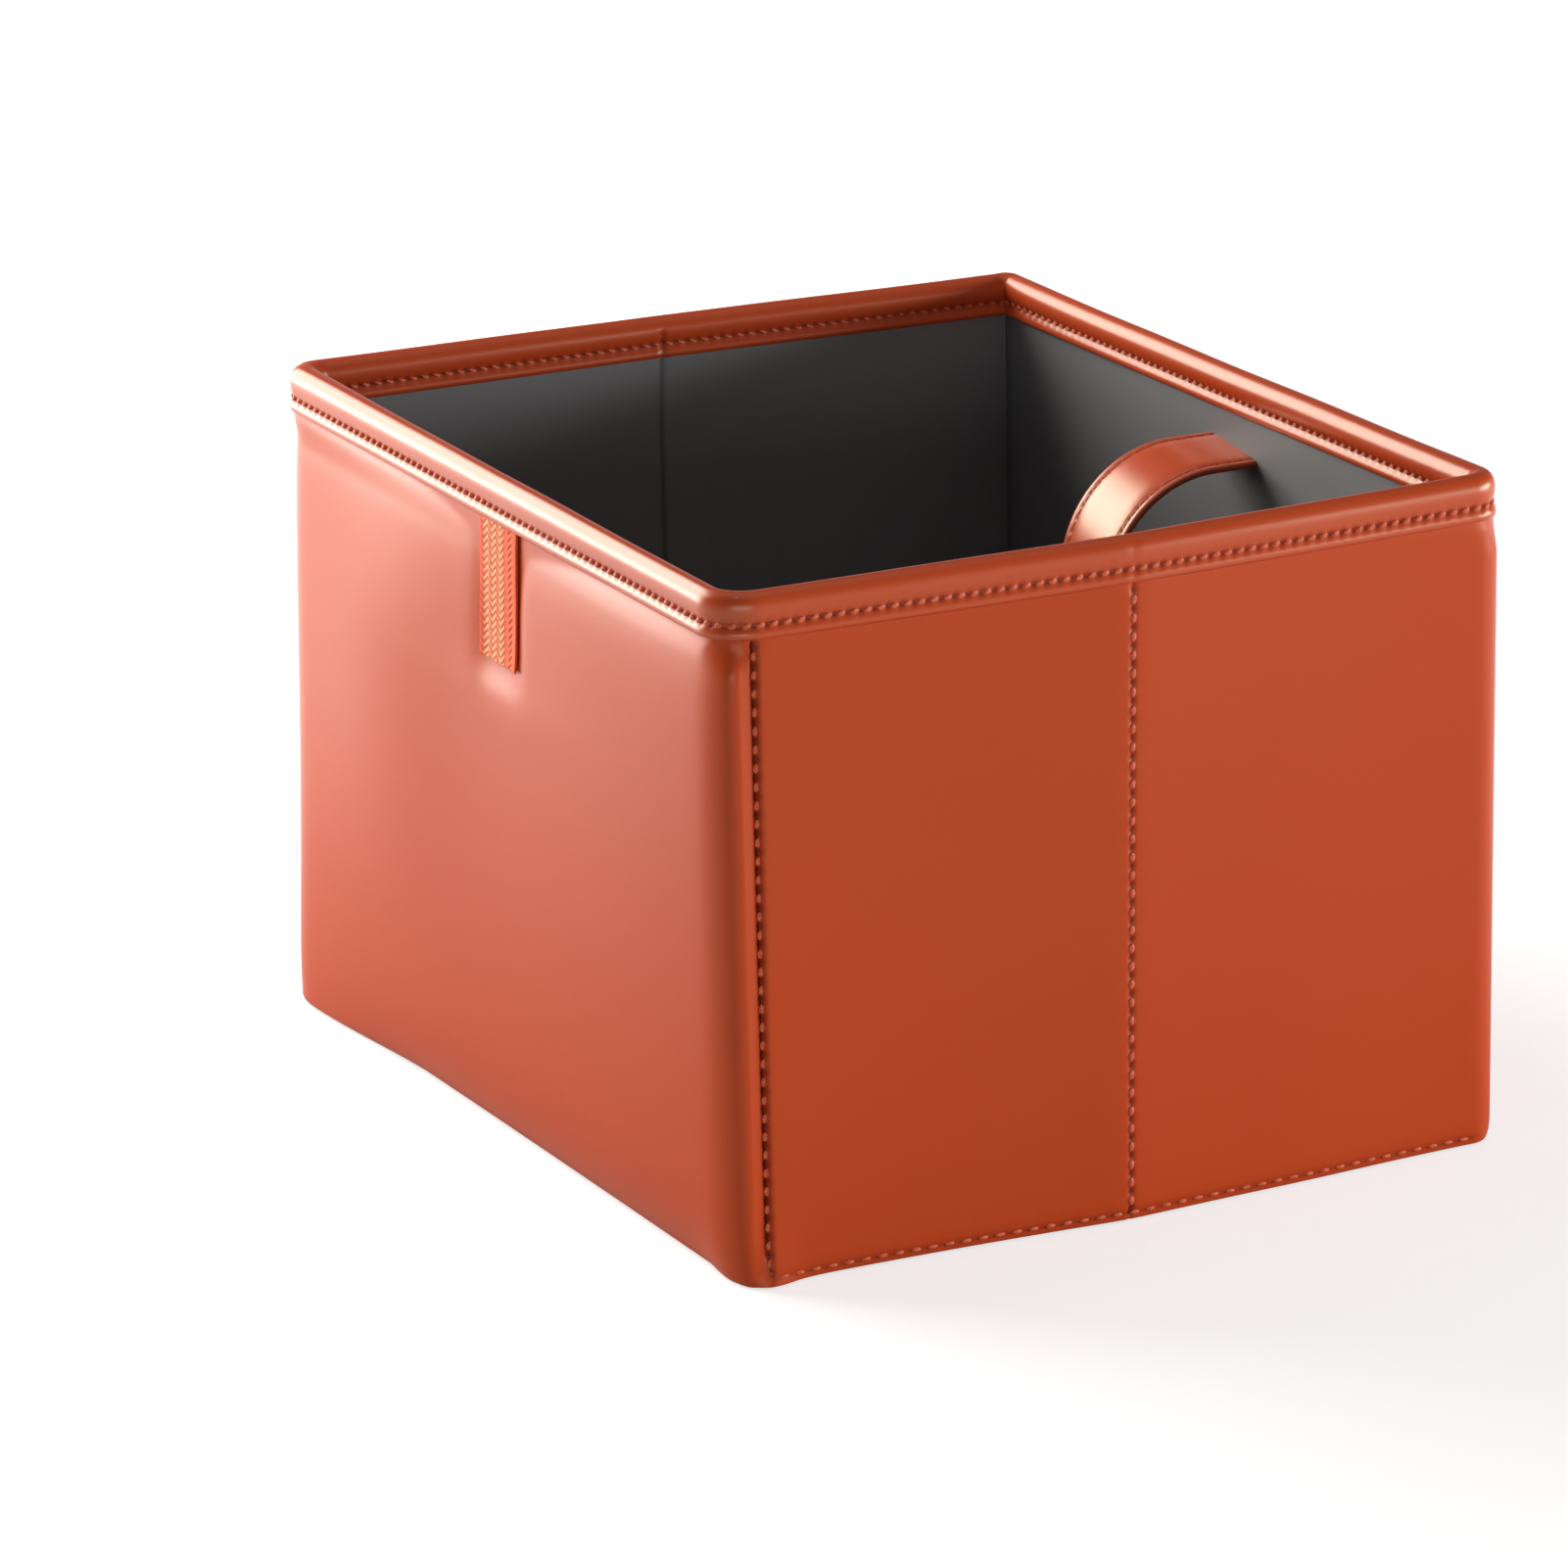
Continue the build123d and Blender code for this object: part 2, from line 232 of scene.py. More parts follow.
# %% Thread
def thread_finish():
    spun = Recipe("waxed_thread")
    ply = spun.add("TexNoise", None, Vector=spun.place(), Scale=1800.0, Detail=1.0).outputs[0]
    tint = spun.mix(spun.span(ply, 0, 1, 0.35, 0.65), srgb(184, 78, 48), srgb(208, 104, 74))
    spun.set(spun.shader, Base_Color=tint, Roughness=0.6, Specular_IOR_Level=0.25)
    spun.bump(ply, 0.3, 0.0001)
    return spun.result


waxed_thread = thread_finish()
print("thread:", waxed_thread.name)

# %% Lining
def lining_finish():
    """Smooth black lining cloth with a satin face and a very fine weave, painted mid-grey to stand in for
    its sheen.
    """
    cloth = Recipe("lining_painted_grey")
    spot = cloth.place()
    cloud = cloth.add("TexNoise", None, Vector=spot, Scale=18.0, Detail=2.0).outputs[0]
    weave = cloth.add("TexNoise", None, Vector=spot, Scale=1500.0, Detail=1.0).outputs[0]
    painted_shade_and_dye = cloth.add("Attribute", {"attribute_name": "painted_shade_and_dye"}).outputs["Fac"]
    # Painted sheen: the black cloth gets a mid-grey colour that stands in for the sheen of its satin face
    # under the lamps.
    plain = cloth.mix(cloud, srgb(104, 104, 105), srgb(110, 110, 111))
    # Painted shade: the lining is darkened nearly to black in the bin's corners and along the fold's
    # crease.
    cloth.set(cloth.shader, Base_Color=cloth.mix(cloth.span(painted_shade_and_dye, 0, 0.8), plain, srgb(8, 8, 9)))
    cloth.set(cloth.shader, Roughness=cloth.span(weave, 0.48, 0.54, 0.3, 0.7), IOR=1.6)
    cloth.bump(weave, 0.12, 0.0001)
    return cloth.result


lining_painted_grey = lining_finish()
print("lining:", lining_painted_grey.name)

# %% Board, for the layer inside the walls
def board_finish():
    card = Recipe("grey_board")
    spot = card.place()
    fibre = card.add("TexNoise", None, Vector=spot, Scale=600.0, Detail=4.0).outputs[0]
    fleck = card.add("TexVoronoi", None, Vector=spot, Scale=260.0).outputs[0]
    plain = card.mix(fibre, srgb(128, 121, 110), srgb(160, 153, 141))
    tint = card.mix(card.span(fleck, 0.25, 0, 0, 0.2), plain, srgb(92, 86, 78))
    card.set(card.shader, Base_Color=tint, Roughness=0.85)
    card.bump(fibre, 0.25, 0.0002)
    return card.result


grey_board = board_finish()
for name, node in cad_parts.items():
    if name.endswith("_board"):
        node.data.materials.clear()
        node.data.materials.append(grey_board)
print("boards painted:", sum(n.endswith("_board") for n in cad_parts))

# %% [markdown]
# ## How a leather piece is made here
# A leather worker cuts a flat blank and lays it over the form. The same is done here: a grid
# primitive is the blank, and a rule says where each of its columns and rows comes to lie.
# Lofting or extruding would give the same faces, but a blank keeps the rows evenly spaced
# along every seam, and that is what the stitches need.

# %% Helpers for blanks
def cut_blank(name, columns, rows):
    """A flat grid with that many columns and rows of vertices."""
    select_only()
    bpy.ops.mesh.primitive_grid_add(x_subdivisions=columns - 1, y_subdivisions=rows - 1, size=1)
    piece = bpy.context.object
    piece.name = piece.data.name = name
    return piece


def read_points(piece):
    flat = np.empty(len(piece.data.vertices) * 3)
    piece.data.vertices.foreach_get("co", flat)
    return flat.reshape(-1, 3)


def write_points(piece, points):
    piece.data.vertices.foreach_set("co", np.ascontiguousarray(points).ravel())
    piece.data.update()


def places_on(piece, columns, rows):
    """Column and row of each vertex of a blank that is still as it was cut."""
    unit = read_points(piece)[:, :2] + 0.5
    return np.rint(unit * [columns - 1, rows - 1]).astype(int).T


def lay(name, columns, rows, rule):
    """Cuts a blank and moves each vertex to rule(column, row), in mm, and stores the painted shade and
    dye.
    """
    piece = cut_blank(name, columns, rows)
    points, painted_shade_and_dye = rule(*places_on(piece, columns, rows))
    write_points(piece, slack(points) * mm)
    mark_painted_shade_and_dye(piece, np.clip(painted_shade_and_dye, 0, 1))
    return piece


def mark_painted_shade_and_dye(piece, painted_shade_and_dye):
    """Stores on the vertices the shade painted into needle holes, seams and creases, and the strap's dyed
    edges.
    """
    marks = piece.data.attributes.new("painted_shade_and_dye", "FLOAT", "POINT")
    marks.data.foreach_set("value", painted_shade_and_dye)


half_width, half_depth, full_height = 122, 104, 165
skin_x, skin_y = 117.2, 99.4


def slack(points):
    """Leather is never a true box: two rim corners stand up a little, the left front corner is
    pulled out, the base of the right wall flares and the fold of that wall leans."""
    x, y, z = points.T
    across, along, high = x / half_width, y / half_depth, np.clip(z / full_height, 0, 1)
    left_front = np.clip((1 - across) * (1 - along) / 4, 0, 1)
    right_rear = np.clip((1 + across) * (1 + along) / 4, 0, 1)
    right_low = np.clip(across, 0, 1) ** 4 * (1 - ease(y, 40, half_depth)) * (1 - high) ** 1.5
    skin = ease(np.maximum(np.abs(x) - bow(y) - skin_x, np.abs(y) - skin_y), 0, 0.8)
    wall = 1 - ease(z, 146, 153)
    tip = (x > 110) * bell(y + seam_y, 6) * np.clip(1 - z / 26, 0, 1) ** 2
    flare = 2.8 * right_low + 0.8 * tip
    pulled = skin * left_front**3
    lean = np.clip(across, 0, 1) ** 6 * np.clip(1 - np.abs(along), 0, 1) * (3.2 * high - 1.2)
    out_x = 1.0 - wall + 3.4 * (1 - high) ** 2.2
    out_y = 1.2 - 1.2 * wall + 2.7 * (1 - high) ** 2.2
    rise = high**2 * (2.0 * left_front**1.5 + 1.4 * right_rear**1.5)
    return np.column_stack([
        x + skin * flare - pulled * out_x,
        y + lean + skin * right_rear**3 * high - pulled * out_y,
        z + rise + 0.8 * pulled * (1 - high) ** 6,
    ])


def edit_all(piece):
    """Opens a piece in edit mode with all of its mesh selected."""
    select_only(piece)
    bpy.ops.object.mode_set(mode="EDIT")
    bpy.ops.mesh.select_all(action="SELECT")


def face_outward(piece, outward):
    """Turns all faces over if they look the wrong way; outward(points) gives the right way."""
    mesh = piece.data
    normals, centres = np.empty(len(mesh.polygons) * 3), np.empty(len(mesh.polygons) * 3)
    mesh.polygons.foreach_get("normal", normals)
    mesh.polygons.foreach_get("center", centres)
    if (normals.reshape(-1, 3) * outward(centres.reshape(-1, 3))).sum() < 0:
        edit_all(piece)
        bpy.ops.mesh.flip_normals()
        bpy.ops.object.mode_set(mode="OBJECT")


def close_up(piece):
    """Merges the vertices that meet where a blank is rolled up, and faces it outwards."""
    edit_all(piece)
    bpy.ops.mesh.remove_doubles(threshold=0.00001)
    bpy.ops.mesh.normals_make_consistent(inside=False)
    bpy.ops.object.mode_set(mode="OBJECT")


def thicken(piece, thickness):
    """Gives an open blank its thickness, inwards from the face that shows."""
    select_only(piece)
    solid = piece.modifiers.new("thickness", "SOLIDIFY")
    solid.thickness, solid.offset = thickness * mm, -1
    bpy.ops.object.modifier_apply(modifier=solid.name)


def finish(piece, finish_material, slot, *nodes, angle=60):
    """Smooth shading, material, body and the CAD nodes that the piece stands for; the slot argument is
    not used.
    """
    select_only(piece)
    bpy.ops.object.shade_smooth_by_angle(angle=math.radians(angle))
    piece.data.materials.clear()
    piece.data.materials.append(finish_material)
    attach(piece, "root")
    if nodes:
        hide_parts(*nodes)
    print(piece.name, len(piece.data.polygons), "faces")


def steps(*parts):
    """Joins runs of positions into one rising list without repeats."""
    return np.unique(np.round(np.concatenate(parts), 4))


# %% [markdown]
# ## How far the foam lifts the leather
# Foam pushes the leather out between its seams. A hand-drawn curve could be used for this,
# but cloth simulation gives it for free: a flat sheet is pinned where it is sewn, air
# pressure swells it for twenty frames, and its height is read off. Foam stops it early, so
# the height is levelled off: a quick rise beside each seam and a nearly flat middle.

# %% Swelling by simulation
swell_step, swell_frames = 6, 20


def swell(name, width, height):
    """Swells a sheet that is pinned all round, and returns a reading of its height, 0 to 1."""
    columns, rows = round(width / swell_step) + 1, round(height / swell_step) + 1
    sheet = cut_blank(name, columns, rows)
    column, row = places_on(sheet, columns, rows)
    flat = read_points(sheet) * [width, height, 0] * mm
    write_points(sheet, flat)
    edge = (abs(flat[:, 0]) > width * mm / 2 - 1e-6) | (abs(flat[:, 1]) > height * mm / 2 - 1e-6)
    pins = sheet.vertex_groups.new(name="sewn")
    pins.add(np.nonzero(edge)[0].tolist(), 1.0, "REPLACE")
    cloth = sheet.modifiers.new("swelling", "CLOTH")
    cloth.settings.vertex_group_mass = pins.name
    cloth.settings.quality = 6
    cloth.settings.use_pressure = True
    cloth.settings.uniform_pressure_force = 4
    cloth.settings.effector_weights.gravity = 0
    cloth.point_cache.frame_end = swell_frames
    for frame_number in range(1, swell_frames + 1):
        bpy.context.scene.frame_set(frame_number)
    select_only(sheet)
    bpy.ops.object.modifier_apply(modifier=cloth.name)
    high = np.abs(read_points(sheet)[:, 2])
    table = np.zeros((columns, rows))
    table[column, row] = high / high.max()
    print(name, "swelled by", round(high.max() / mm, 1), "mm before the foam's limit")
    bpy.data.objects.remove(sheet)
    bpy.context.scene.frame_set(1)

    def lookup(across, upward):
        """Bilinear reading in mm: across from the middle, upward from the lower edge."""
        a = np.clip((across / width + 0.5) * (columns - 1), 0, columns - 1.001)
        b = np.clip(upward / height * (rows - 1), 0, rows - 1.001)
        i, j = a.astype(int), b.astype(int)
        p, q = a - i, b - j
        low = table[i, j] * (1 - p) + table[i + 1, j] * p
        top = table[i, j + 1] * (1 - p) + table[i + 1, j + 1] * p
        return low * (1 - q) + top * q

    return lookup


foam_lift, crown = 1.8, 1.6


def lifted(height):
    """Foam's limit: a quick rise beside the seams, then a slight crown."""
    return foam_lift * np.tanh(4 * height) + crown * height


def tight(height):
    """The same for a panel that is drawn tight: it is level between its seams."""
    return foam_lift * np.tanh(25 * height)


# %% [markdown]
# ## Walls
# Four padded leather panels make the walls. The front one turns round both front corners and
# is sewn to the side panels there, and the side panels turn round the rear corners in the
# same way. All go flat under the rim strip and roll under the base. A side panel is creased
# along a sewn fold, so that the empty bin can be folded flat. The columns are close together
# beside the seams, and the rows keep four to a stitch.

# %% Levels shared by the walls, in mm
sew_level, sew_side = 102.2, 120.2
seam_x, seam_y = 112.4, 94.4
fold_bow, fold_round, bow_end = 3.0, 3.0, 100.9
rim_edge, wall_top = 154.0, 160.0
stitch_pitch, first_stitch = 4.4, 5.0
skin_thickness = 1.0
board_gap, roll_free = 0.85, 0.8
rim_half = np.array([118.25, 100.25])
rim_corners = np.array([8.0, 5.0, 3.4, 6.0])
corner_ways = np.array([(1, -1), (1, 1), (-1, 1), (-1, -1)])


def ease(value, start, stop):
    """0 before start, 1 after stop, and a soft slope between them."""
    t = np.clip((value - start) / (stop - start), 0, 1)
    return t * t * (3 - 2 * t)


def bell(value, width, power=2):
    """1 at zero, falling off softly on both sides, and flatter on top with a higher power."""
    return np.exp(-((value / width) ** power))


def bow(y):
    """How far a side wall stands out at y, most at the fold."""
    return fold_bow * np.clip(1 - np.sqrt(y**2 + fold_round**2) / bow_end, 0, None)


def needle(z):
    """1 at a needle hole of an upright seam, 0 in the middle of a stitch."""
    return 0.5 - 0.5 * np.cos(2 * np.pi * (z - first_stitch) / stitch_pitch)


def seam_groove(gap, z):
    """Depth of a sewn seam at a distance from its line, and the shade painted into its needle holes."""
    open_width = 0.4 + 0.4 * needle(z)
    slot = bell(gap, open_width)
    depth = (0.25 + 0.55 * needle(z)) * slot + 0.12 * bell(gap, 3.0)
    # Painted shade: dark in each needle hole, barely between the holes.
    painted_dark = bell(gap, 0.85 * open_width) * (0.04 + 0.96 * needle(z) ** 1.5)
    return depth, painted_dark


def seam_foot(n, gap, z, inward, reach):
    """At the floor a corner seam stands out in a point, and no edge rolls in past its board."""
    near = np.clip(1 - z / 14, 0, 1) ** 2 * bell(gap, 5) * (inward <= reach + 0.01)
    n = np.where(z > roll_free, np.maximum(n, -board_gap), n)
    return n * (1 - near) + 1.6 * near


def lip(lift, gap):
    """Rolls the narrow edge beside a corner seam down to the seam."""
    edge = np.minimum(lift, 0.45 + 0.6 * np.sqrt(np.clip(gap, 0, None)))
    return np.where(gap < 4, edge, lift) * np.clip(0.65 + 0.3 * gap, 0, 1)


def corner_turn(along, round_it):
    """A quarter turn of leather, an ellipse: its length, and where and how it faces on the way."""
    t = np.linspace(0, math.pi / 2, 200)
    pieces = np.hypot(np.diff(along * np.sin(t)), np.diff(round_it * np.cos(t)))
    run = np.concatenate([[0], np.cumsum(pieces)])

    def at(s):
        turned = np.interp(s, run, t)
        face = np.arctan2(round_it * np.sin(turned), along * np.cos(turned))
        return along * np.sin(turned), round_it * np.cos(turned), face

    return run[-1], at


def under_rim(points):
    """Near the top, draws the walls' corners in to the rounder corners of the rim strip."""
    x, y, z = points.T
    corner = np.where(x > 0, np.where(y < 0, 0, 1), np.where(y < 0, 3, 2))
    radius = rim_corners[corner]
    over_x = np.clip(np.abs(x) - rim_half[0] + radius, 0, None)
    over_y = np.clip(np.abs(y) - rim_half[1] + radius, 0, None)
    reach = np.hypot(over_x, over_y)
    limit = np.maximum(np.maximum(over_x, over_y), radius + 2.6)
    shrink = ease(z, 145, 154) * np.clip(reach - limit, 0, None) / np.maximum(reach, 0.001)
    return np.column_stack([x - np.sign(x) * over_x * shrink, y - np.sign(y) * over_y * shrink, z])


# %% Rows of the panels: turned under at the floor, rolled up to the wall, then four to a stitch
beside_seam = np.array([0, 0.25, 0.5, 0.8, 1.15, 1.6, 2.1, 2.8, 3.6])
upper_z = np.arange(first_stitch - stitch_pitch / 4, wall_top, stitch_pitch / 4)
roll_z = np.concatenate([[0, 0.12, 0.45, 1.0, 1.7, 2.5, 3.2], upper_z])


def rolled_under(z, reach, rise):
    """How far a panel's edge draws in at a height, as it rolls under the base."""
    return reach * (1 - np.sqrt(1 - np.clip(1 - z / rise, 0, 1) ** 2))


def panel_rows(reach, rise, tuck):
    """Inset and height of a panel's rows, from the edge under the base to the top."""
    inset = np.concatenate([[reach + tuck, reach + tuck / 2], rolled_under(roll_z, reach, rise)])
    return inset, np.concatenate([[0.25, 0.05], roll_z])


# %% Front panel
front_reach, front_round = 11.0, 3.4
turn_length, front_turn = corner_turn(front_reach, front_round)
turn_x, turn_y = sew_side + 0.2 - front_reach, sew_level - front_round
front_half = turn_x + turn_length + turn_y - seam_y
half_columns = steps(
    np.arange(0, 26, 2), np.arange(26, 98, 4), 98 + np.cumsum([3.4, 3.2, 2.8]), [turn_x],
    turn_x + turn_length * np.linspace(0, 1, 12), front_half - beside_seam,
)
front_columns = np.concatenate([-half_columns[:0:-1], half_columns])
end_reach = 5.6
end_in, end_z = panel_rows(end_reach, 22.0, 2.2)
below = 26.0  # the swollen sheet goes on below the floor, so the wall is still full there
front_swell = swell("front_swelling", 2 * front_half, rim_edge + below)
label_middle = 3.6


def label_valley(x, z):
    """The ribbon label is sewn in tight and presses a valley into the foam."""
    aside = x - label_middle
    fade = 1 / (1 + np.exp(-(z - 115.5) / 2.6))
    return fade * (1.3 * bell(aside, 12, 4) + 1.0 * bell(aside, 30))


def front_height(s, z):
    """How far the front panel stands out from its seams."""
    shoulder = bell(s + 60, 36) * ease(z, 20, 112) * (1 - ease(z, 108, 152))
    lift = lifted(front_swell(s, z + below)) + 2.2 * shoulder
    return lift - np.minimum(label_valley(s, z), 0.75 * lift)


def front_roll(s):
    """The base edge rolls under less towards the corners, and least at the left one."""
    right = 0.6 * ease(s, turn_x - 12, turn_x + 9)
    return 1 - right - 0.85 * ease(-s, turn_x - 70, turn_x + 5)


def front_rule(column, row):
    s, inward, z = front_columns[column], end_in[row], end_z[row]
    a = np.abs(s)
    x, y, face = front_turn(a - turn_x)
    x, y = np.minimum(a, turn_x) + x, turn_y + y - np.clip(a - turn_x - turn_length, 0, None)
    gap = front_half - a
    depth, painted_dark = seam_groove(gap, z)
    n = lip(front_height(s, z), gap) - depth - inward * front_roll(s)
    n = seam_foot(n, gap, z, inward, end_reach)
    points = np.column_stack([np.sign(s) * (x + np.sin(face) * n), -(y + np.cos(face) * n), z])
    return under_rim(points), painted_dark


def facing(x, y, z):
    """A rule for face_outward: the same direction for all faces."""
    return lambda centres: np.array([[x, y, z]], float)


def make_panel(name, columns, heights, rule, way, *nodes):
    """Cuts, lays and thickens one wall, and keeps it off the floor."""
    piece = lay(name, len(columns), len(heights), rule)
    face_outward(piece, way)
    thicken(piece, skin_thickness)
    points = read_points(piece)
    points[:, 2] = np.clip(points[:, 2], 0, None)
    write_points(piece, points)
    finish(piece, wall_leather, "leather", *nodes)


make_panel("front_wall", front_columns, end_z, front_rule, facing(0, -1, 0), "front_skin", "front_pad")

# %% Rear panel, flat between its two seams
half_columns = steps(np.arange(0, 100, 4.8), [99.5, 103, 106], seam_x - beside_seam)
rear_columns = np.concatenate([-half_columns[:0:-1], half_columns])
rear_swell = swell("rear_swelling", 2 * seam_x, rim_edge + below)


def rear_rule(column, row):
    x, inward, z = rear_columns[column], end_in[row], end_z[row]
    gap = seam_x - np.abs(x)
    depth, painted_dark = seam_groove(gap, z)
    rolled = inward * (1 - 0.8 * bell(gap, 14))
    n = np.maximum(lifted(rear_swell(x, z + below)) - depth - rolled, -board_gap)
    return np.column_stack([x, sew_level + np.where(z > roll_free, n, -rolled), z]), painted_dark


make_panel("rear_wall", rear_columns, end_z, rear_rule, facing(0, 1, 0), "rear_skin", "rear_pad")

# %% Side panels
rear_round = 6.0
rear_length, rear_turn = corner_turn(rear_round, rear_round)
rear_x, rear_y = sew_side + 0.2 - rear_round, sew_level - rear_round
beside_fold = np.array([0, 0.25, 0.5, 0.8, 1.2, 1.7, 2.4, 3.3, 4.5, 6, 8, 10.5])
side_run = seam_y + rear_y
side_length = side_run + rear_length + rear_x - seam_x
side_columns = steps(
    beside_seam, [5.2, 7.2, 9.5, 12], np.arange(16, 80, 4.4), seam_y - beside_fold, seam_y + beside_fold,
    seam_y + np.arange(14, 82, 4.4), side_run - np.array([7, 4.5, 2.2]),
    side_run + rear_length * np.linspace(0, 1, 9), side_length - beside_seam[:6],
)
side_reach, side_rise, side_below = 1.2, 6.0, 14.0
side_in, side_z = panel_rows(side_reach, side_rise, 3.0)
side_swell = swell("side_swelling", side_length, rim_edge + 3 + side_below)
hem_level = 1.9


def side_height(s, z):
    """How far a side panel stands out: up at once beside a seam, with a dip in each half."""
    lift = tight(side_swell(np.clip(s, 16, side_length - 16) - side_length / 2, z + side_below))
    half = np.where(s < seam_y, s / seam_y, np.clip((s - seam_y) / rear_y, 0, 1))
    lift = lift * (0.2 + 0.62 * (2 * half - 1) ** 2) * (1 - 0.75 * bell(s, 0.5))
    lift = np.minimum(lift, 1.2 + 0.4 * np.clip(153.5 - z, 0, None))
    return np.where(s > side_run, lip(lift, side_length - s), lift)


def side_roll(s):
    """The base edge rolls under less beside the front seam, where the corner stays square."""
    return 1 - 0.85 * bell(s, 9)


def side_point(side, s, z, n):
    """The place n outside the sewn level of the right (1) or left (-1) panel."""
    ahead, outward, face = rear_turn(s - side_run)
    y = np.minimum(s - seam_y, rear_y) + ahead
    x = np.where(s < side_run, sew_side + bow(s - seam_y), rear_x + outward)
    x = x - np.clip(s - side_run - rear_length, 0, None)
    return under_rim(np.column_stack([side * (x + np.cos(face) * n), y + np.sin(face) * n, z]))


def side_rule(side):
    """Where the columns and rows of the right or left panel lie."""

    def rule(column, row):
        s, inward, z = side_columns[column], side_in[row], side_z[row]
        depth, painted_dark = seam_groove(np.minimum(s, side_length - s), z)
        fold_depth, fold_painted_dark = seam_groove(np.abs(s - seam_y), z)
        hem = bell(z - hem_level, 0.8) * (s < side_run)
        n = side_height(s, z) - np.maximum(depth, fold_depth) - 0.3 * hem - inward * side_roll(s)
        n = seam_foot(n, s, z, inward, side_reach)
        # Painted shade in the needle holes of the seams and the fold, and along the hem's groove.
        return side_point(side, s, z, n), np.maximum(np.maximum(painted_dark, fold_painted_dark), 0.45 * hem)

    return rule


for wall, side in (("right", 1), ("left", -1)):
    nodes = [wall + part for part in ("_side_skin", "_front_pad", "_rear_pad")]
    make_panel(wall + "_side_wall", side_columns, side_z, side_rule(side), facing(side, 0, 0), *nodes)

# %% [markdown]
# ## Base
# Underneath, a plain leather panel closes the base between the turned-under edges of the
# walls. A single face would do, but a blank can have a soft, slightly uneven face.

# %% Base panel
def level_blank(name, half_x, half_y):
    """A level blank, its points in mm and how far each of them is from the edge."""
    piece = cut_blank(name, 41, 35)
    points = read_points(piece) * [2 * half_x, 2 * half_y, 0]
    return piece, points, np.minimum(half_x - abs(points[:, 0]), half_y - abs(points[:, 1]))


base, points, soft_edge = level_blank("base_panel", 117.5, 99.5)
unevenness = np.sin(points[:, 0] / 23) * np.sin(points[:, 1] / 19)
points[:, 2] = 0.35 + 0.35 * np.exp(-soft_edge / 3) + 0.12 * unevenness
write_points(base, points * mm)
# Painted shade: the base panel is darkened along its edge, where the walls roll under it.
mark_painted_shade_and_dye(base, 0.3 * np.exp(-soft_edge / 2))
face_outward(base, facing(0, 0, -1))
thicken(base, 0.6)
finish(base, wall_leather, "leather", "base_skin")

# %% [markdown]
# ## Rim strip
# A narrow strip of leather is rolled over the rim and sewn through the wall, so a row of
# stitches shows outside and another inside. A curve with a bevel profile would sweep the same
# section, but a rolled blank can be dimpled at every needle hole. Six columns go to each
# stitch and the rows follow the section, out, over the top and in.

# %% Path of the rim
row_out = 3.05
rim_arcs = (rim_corners + row_out) * math.pi / 2
rear_run, right_run = 2 * rim_half - [rim_corners[1] + rim_corners[2], rim_corners[0] + rim_corners[1]]
rim_runs = np.array([
    rim_half[0] - rim_corners[0], rim_arcs[0], right_run, rim_arcs[1], rear_run, rim_arcs[2],
    2 * rim_half[1] - rim_corners[2] - rim_corners[3], rim_arcs[3], rim_half[0] - rim_corners[3],
])
rim_length = rim_runs.sum()
rim_starts = np.concatenate([[0], np.cumsum(rim_runs)[:-1]])
arc_centres = corner_ways * (rim_half - rim_corners[:, None])
arc_ends = arc_centres + rim_corners[:, None] * [(1, 0), (0, 1), (-1, 0), (0, -1)]
run_heads = np.concatenate([[(0, -rim_half[1])], arc_ends])
rim_stitches = round(rim_length / 3.3)
rim_pitch = rim_length / rim_stitches
per_stitch, thread_slant, side_wall = 6, 0.45, 100


def rim_path(s):
    """Point, outward direction, turn and part on the middle line of the rim, s along the stitches.

    It starts in the middle of the front and runs to the right. The side runs bow out to the fold.
    """
    s = np.mod(s, rim_length)
    part = np.searchsorted(rim_starts, s, side="right") - 1
    along, turns, which = s - rim_starts[part], part % 2 == 1, part // 2
    share = np.where(turns, along / rim_runs[part], 0)
    angle = (which + share) * math.pi / 2
    out = np.column_stack([np.sin(angle), -np.cos(angle)])
    ahead = np.column_stack([np.cos(angle), np.sin(angle)])
    corner = np.minimum(which, 3)
    curved = arc_centres[corner] + rim_corners[corner, None] * out
    point = np.where(turns[:, None], curved, run_heads[which] + along[:, None] * ahead)
    point[:, 0] += np.sign(point[:, 0]) * bow(point[:, 1]) * (np.abs(point[:, 0]) > side_wall)
    return point, out, np.sin(share * math.pi), part


# %% Section of the rim: offset from the middle line and height, from the outer edge over to the inner
row_height, inner_row_height = 157.4, 158.1
shown_section = np.array([
    (2.2, 154.1), (2.9, 154.0), (3.3, 154.3), (3.48, 154.85), (3.46, 155.4), (3.34, 155.95),
    (3.12, 156.45), (2.95, 156.85), (2.78, 157.15), (2.72, 157.45), (2.76, 157.8), (2.86, 158.25),
    (2.98, 158.8), (3.1, 159.5), (3.2, 160.4), (3.22, 161.3), (3.1, 162.2), (2.84, 163.0),
    (2.42, 163.75), (1.82, 164.35), (1.12, 164.78), (0.3, 165.0), (-0.6, 164.92), (-1.4, 164.6),
    (-2.1, 164.1), (-2.65, 163.45), (-3.05, 162.7), (-3.25, 161.8), (-3.3, 160.9), (-3.2, 160.0),
    (-2.98, 159.2), (-2.72, 158.55), (-2.6, 158.15), (-2.66, 157.75), (-2.9, 157.2), (-3.25, 156.5),
    (-3.45, 155.8), (-3.4, 155.2), (-3.0, 154.7), (-2.5, 154.6),
])
hidden_section = np.array([
    (-2.0, 155.2), (-2.0, 158.5), (-1.6, 162.8), (0.2, 164.0), (1.8, 163.0), (2.2, 158.5),
    (2.2, 154.1),
])
section = np.concatenate([shown_section, hidden_section])
hidden_from = len(shown_section) - 1


